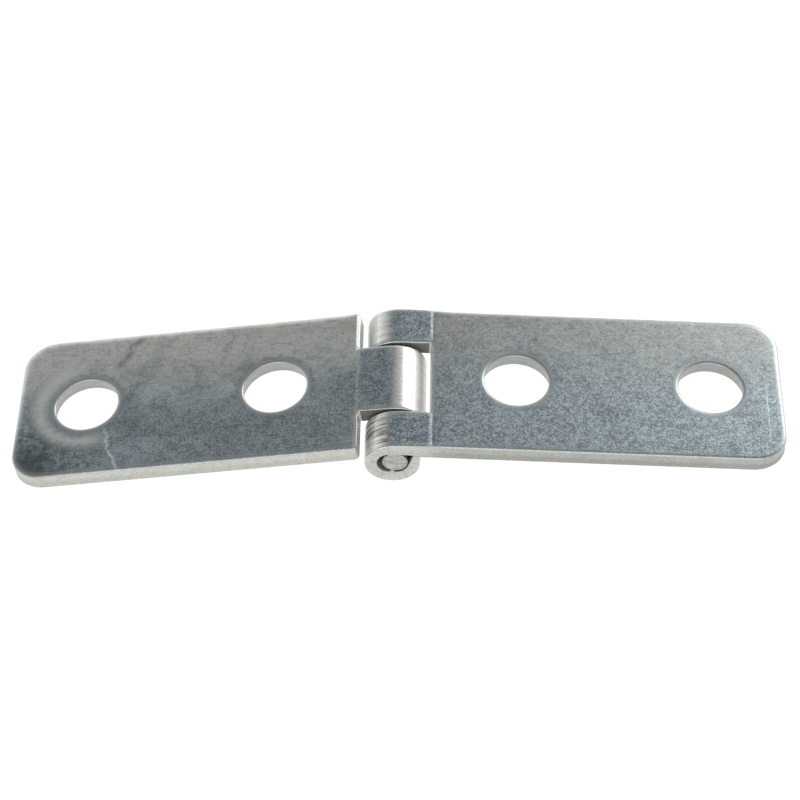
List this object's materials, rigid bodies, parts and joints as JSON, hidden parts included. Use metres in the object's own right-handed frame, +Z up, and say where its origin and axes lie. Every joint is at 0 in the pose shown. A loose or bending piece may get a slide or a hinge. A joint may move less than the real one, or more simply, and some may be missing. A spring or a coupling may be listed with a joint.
{
  "type": "strap hinge",
  "caption": "Flat strap hinge: two round-cornered stamped steel leaves with large bolt holes, curled into knuckles around a loose staked pin.",
  "frame": {"origin": "On the surface that the hinge lies on, directly below the middle of the pin axis", "axes": "+X along the two-knuckle leaf to its outer end, +Y along the pin, +Z up from the surface to the flush faces"},
  "size_m": [0.1194, 0.028, 0.0085],
  "materials": {
    "leaf_plating": "zinc plated, dull and mottled, with light sheared edges",
    "tongue_leaf_plating": "zinc plated, dull and mottled, with a rub ring around the outer hole",
    "pin_steel": "plated, with a plain sheared end"
  },
  "bodies": {
    "two_knuckle_leaf_body": {"two_knuckle_leaf": "leaf_plating", "hinge_pin": "pin_steel"},
    "one_knuckle_leaf_body": {"one_knuckle_leaf": "tongue_leaf_plating"}
  },
  "joints": [
    {"name": "leaf_swing", "type": "hinge", "parent": "two_knuckle_leaf_body", "child": "one_knuckle_leaf_body", "pos_m": [0, 0, 0.00421], "axis": [0, 1, 0], "range_deg": [-171, 110]}
  ]
}
